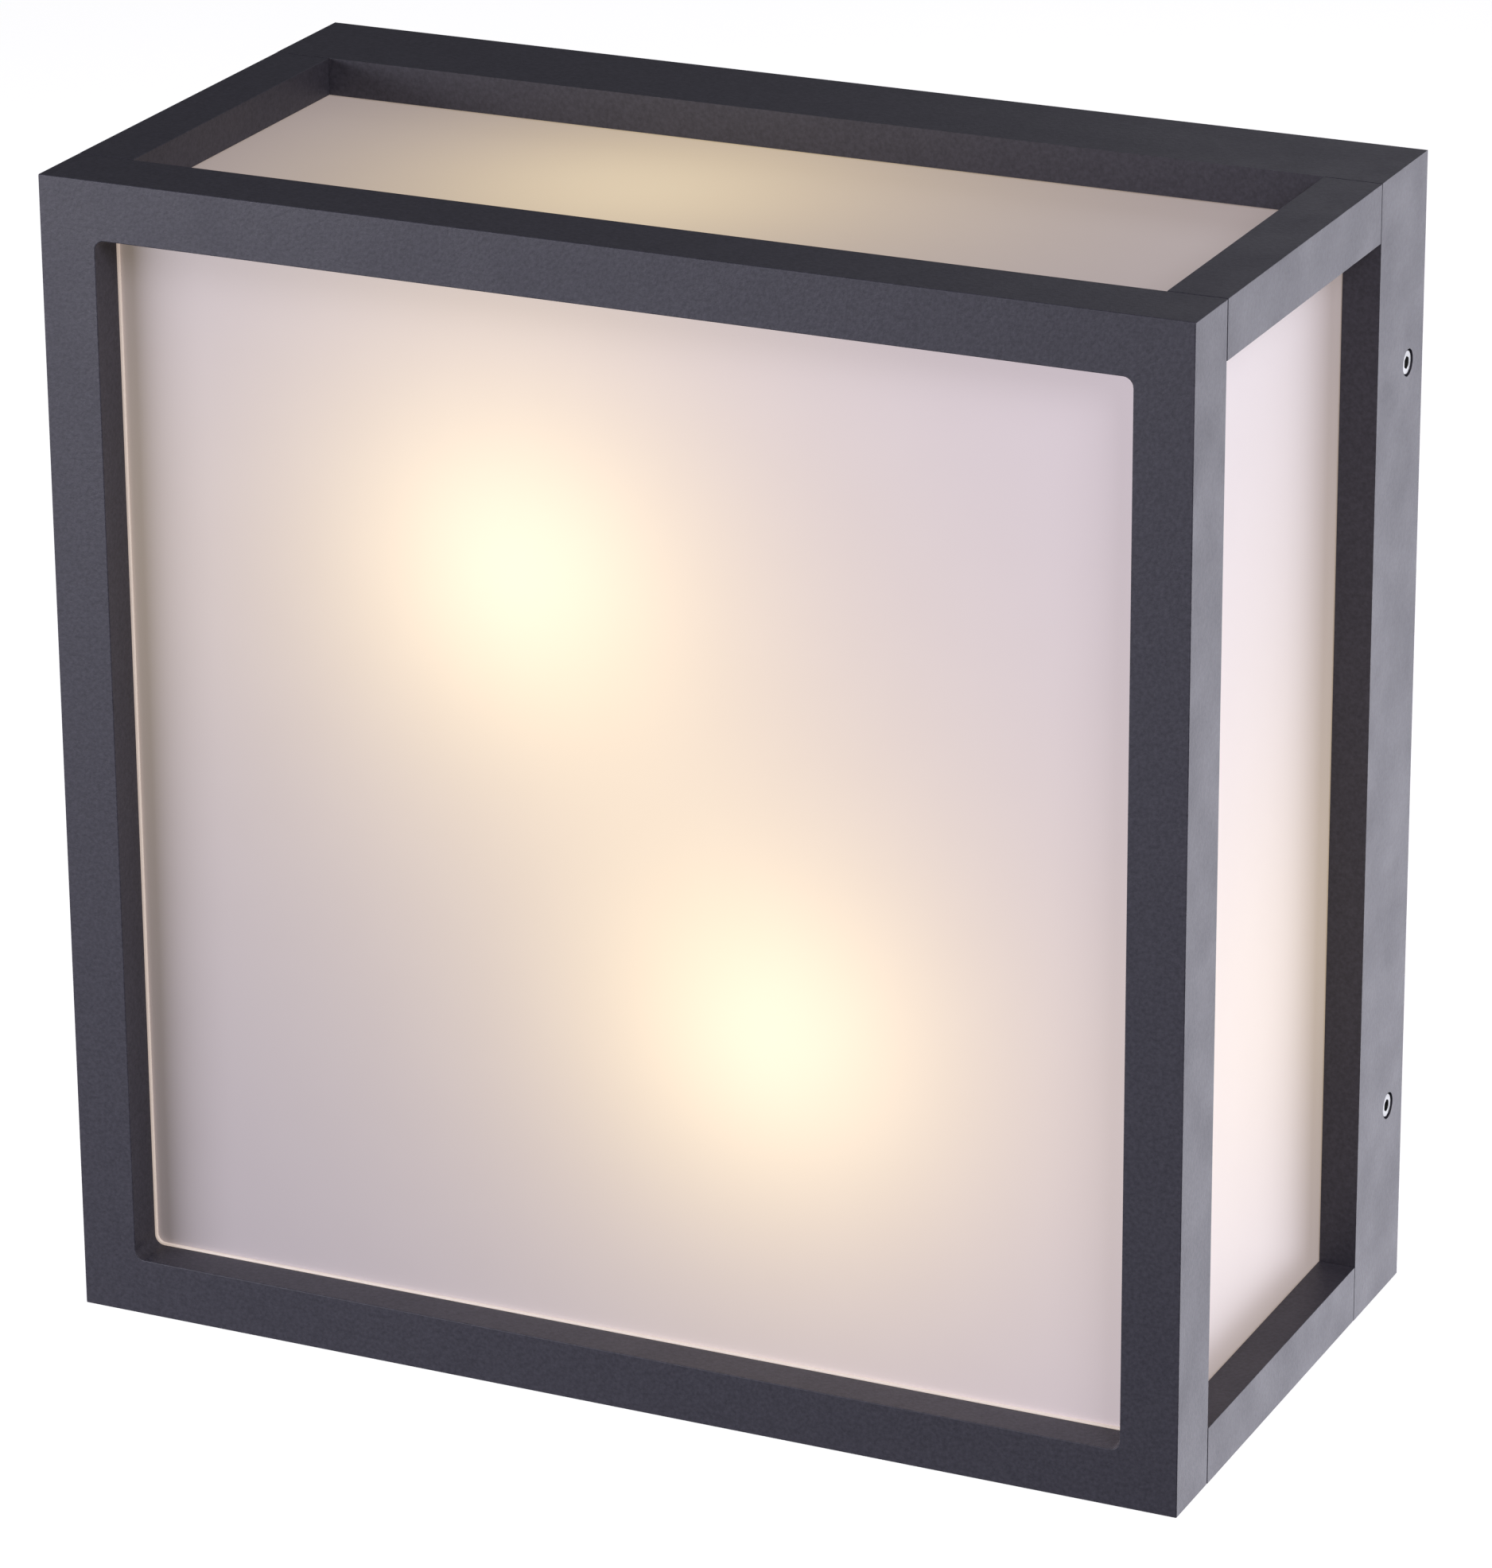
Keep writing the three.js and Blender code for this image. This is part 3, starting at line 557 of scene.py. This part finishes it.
def widest(name):
    """The largest radius of a round CAD node."""
    low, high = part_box(name)
    return (high.x - low.x) / 2


def arc(radius, centre, start, end, steps):
    """A round stretch of a profile, with its centre at (radius, height) and its angles in degrees."""
    turns = [math.radians(start + (end - start) * i / steps) for i in range(steps + 1)]
    return [(centre[0] + radius * math.cos(turn), centre[1] + radius * math.sin(turn)) for turn in turns]


# ------------------------------------------------------------------ lamps

GLOBE_WALL = 0.0012
GLOBE_POLE = 89.7                 # the globe's profile ends just short of its axis, in degrees
GLOBE_STEPS = 40
COLLAR_NECK = 0.553               # the housing's neck, as a part of its widest radius
COLLAR_FLARE = 1.25               # power of the housing's flare
COLLAR_FOOT, COLLAR_TALL = 0.06, 0.9        # the flare's start and length, as parts of the height
COLLAR_STEPS = 36
COLLAR_GROOVE = 0.0003
GROOVED_STEPS = range(12, 26, 4)
COLLAR_ROUND = 0.0005
DOME_RISE = 0.0008
DOME_ANGLES = range(6, 91, 14)    # degrees from the dome's middle to its edge


def add_globe(tag):
    """The milky globe as a thin shell, open at the housing."""
    bottom, top = inner_ends(f"lamp_globe_{tag}", tag)
    centre = lamp_centre(tag).z * LAMPS[tag]
    outer = top - centre
    inner = outer - GLOBE_WALL
    outer_start = math.degrees(math.asin((bottom - centre) / outer))
    inner_start = math.degrees(math.asin((bottom - centre) / inner))
    profile = arc(outer, (0, centre), outer_start, GLOBE_POLE, GLOBE_STEPS)
    profile += arc(inner, (0, centre), GLOBE_POLE, inner_start, GLOBE_STEPS)
    dress(turned(f"globe_shell_{tag}", tag, profile, closed=True), f"lamp_globe_{tag}")


def add_collar(tag):
    """The lamp's plastic housing: a flared cone with a rounded rim and a row of shallow grooves."""
    bottom, top = inner_ends(f"lamp_collar_{tag}", tag)
    wide = widest(f"lamp_collar_{tag}")
    tall = top - bottom
    neck = COLLAR_NECK * wide
    profile = [(AXIS, bottom), (neck - COLLAR_ROUND, bottom), (neck, bottom + COLLAR_ROUND)]
    for step in range(COLLAR_STEPS + 1):
        along = step / COLLAR_STEPS
        radius = neck + (wide - neck) * along ** COLLAR_FLARE
        groove = COLLAR_GROOVE if step in GROOVED_STEPS else 0
        profile.append((radius - groove, bottom + tall * (COLLAR_FOOT + COLLAR_TALL * along)))
    profile += arc(COLLAR_ROUND, (wide - COLLAR_ROUND, top - COLLAR_ROUND), 0, 90, 6)
    profile.append((AXIS, top))
    dress(turned(f"lamp_housing_{tag}", tag, profile), f"lamp_collar_{tag}")


def add_contact(tag):
    """The domed contact at the end of the cap."""
    bottom, top = inner_ends(f"lamp_contact_{tag}", tag)
    wide = widest(f"lamp_contact_{tag}")
    profile = [(AXIS, bottom)]
    for degrees in DOME_ANGLES:
        turn = math.radians(degrees)
        profile.append((wide * math.sin(turn), bottom + DOME_RISE * (1 - math.cos(turn))))
    profile += [(wide, top), (AXIS, top)]
    dress(turned(f"centre_contact_{tag}", tag, profile, sides=CONTACT_SIDES), f"lamp_contact_{tag}")


# ------------------------------------------------------------------ screw threads

THREAD_PITCH = 0.003629
THREAD_STEPS = 84
CAP_THREAD = 0.0011               # depth of the cap's thread
CAP_SHOULDER = 0.0046             # from the cap's end to its thread
CAP_CONE = ((AXIS, 0), (0.0050, 0), (0.0092, 0.0022), (0.0112, 0.0030))   # radius and rise from the end
CAP_RIM = 0.0012                  # from the thread to the housing
CAP_RIM_TALL, CAP_RIM_STEP = 0.0007, 0.0003
FADE_IN, FADE_OUT = 6, 8          # steps over which the cap's thread runs out at its two ends
SHELL_THREAD = 0.0006             # depth of the lampholder shell's thread
SHELL_WALL = 0.0004


def threaded_ring(at, root, depth, height):
    """A ring across a round-crested E27 thread, from root to root + depth."""
    def radius(angle):
        return root + depth * (0.5 + 0.5 * math.cos(2 * math.pi * height / THREAD_PITCH - angle))
    return [at(radius(angle), angle, height) for angle in angles(SIDES)]


def add_cap(tag):
    """The lamp's threaded cap. The thread runs out at both ends."""
    bottom, top = inner_ends(f"lamp_cap_{tag}", tag)
    crest = widest(f"lamp_cap_{tag}")
    root = crest - CAP_THREAD
    at = lamp_frame(tag)
    rings = [round_ring(at, radius, bottom + rise) for radius, rise in CAP_CONE]
    start, end = bottom + CAP_SHOULDER, top - CAP_RIM
    for i in range(THREAD_STEPS + 1):
        fade = min(1.0, i / FADE_IN, (THREAD_STEPS - i) / FADE_OUT)
        height = start + (end - start) * i / THREAD_STEPS
        rings.append(threaded_ring(at, root, CAP_THREAD * fade, height))
    rim = crest - CAP_RIM_STEP
    rings += [round_ring(at, rim, top - CAP_RIM_TALL), round_ring(at, rim, top), round_ring(at, AXIS, top)]
    dress(swept(f"threaded_cap_{tag}", rings, False), f"lamp_cap_{tag}")


def add_shell(tag):
    """The lampholder's pressed brass shell, with the thread rolled into it."""
    bottom, top = inner_ends(f"holder_shell_{tag}", tag)
    outside = widest(f"holder_shell_{tag}") - SHELL_THREAD
    inside = outside - SHELL_WALL
    at = lamp_frame(tag)
    levels = [bottom + (top - bottom) * i / THREAD_STEPS for i in range(THREAD_STEPS + 1)]
    rings = [threaded_ring(at, outside, SHELL_THREAD, height) for height in levels]
    rings += [threaded_ring(at, inside, SHELL_THREAD, height) for height in reversed(levels)]
    dress(swept(f"threaded_shell_{tag}", rings, True), f"holder_shell_{tag}")


# ------------------------------------------------------------------ lampholder body

HOLDER_STEP = 0.0025              # the body is this much narrower below its rim
HOLDER_RIM = 0.0046               # from the rim's outside to the bore
HOLDER_BED = 0.0004               # from the bore's floor to the shell
SHOULDER_TOP, SHOULDER_FOOT = 0.003, -0.001 # the sloping shoulder's ends, from the bore's floor
BORE_ROUND, RIM_ROUND, FOOT_ROUND = 0.0006, 0.0012, 0.001


def add_holder(tag):
    """Glazed porcelain lampholder body with rounded rims, and the bore for the shell."""
    bottom, top = inner_ends(f"holder_body_{tag}", tag)
    wide = widest(f"holder_body_{tag}")
    narrow, bore = wide - HOLDER_STEP, wide - HOLDER_RIM
    floor = ends(f"holder_shell_{tag}", tag)[0] - HOLDER_BED
    profile = [(AXIS, floor), (bore, floor)]
    profile += arc(BORE_ROUND, (bore + BORE_ROUND, top - BORE_ROUND), 180, 90, 6)
    profile += arc(RIM_ROUND, (wide - RIM_ROUND, top - RIM_ROUND), 90, 0, 8)
    profile += [(wide, floor + SHOULDER_TOP), (narrow, floor + SHOULDER_FOOT)]
    profile += arc(FOOT_ROUND, (narrow - FOOT_ROUND, bottom + FOOT_ROUND), 0, -90, 8)
    profile.append((AXIS, bottom))
    dress(turned(f"porcelain_body_{tag}", tag, profile), f"holder_body_{tag}")


def add_lamps():
    for tag in LAMPS:
        for build in (add_globe, add_collar, add_cap, add_contact, add_shell, add_holder):
            build(tag)


def dress_leads():
    """CAD nodes that no piece stands for, the leads, take their slot's material."""
    for obj in frame["nodes"].values():
        if not obj.hide_render:
            obj.data.materials.clear()
            obj.data.materials.append(MATERIALS[SLOT_OF[obj.name]])


bpy.context.scene.view_settings.view_transform = "Standard"
MATERIALS = all_materials()
add_camera()
add_studio()
add_floor()
add_all_refined()
add_lamps()
dress_leads()
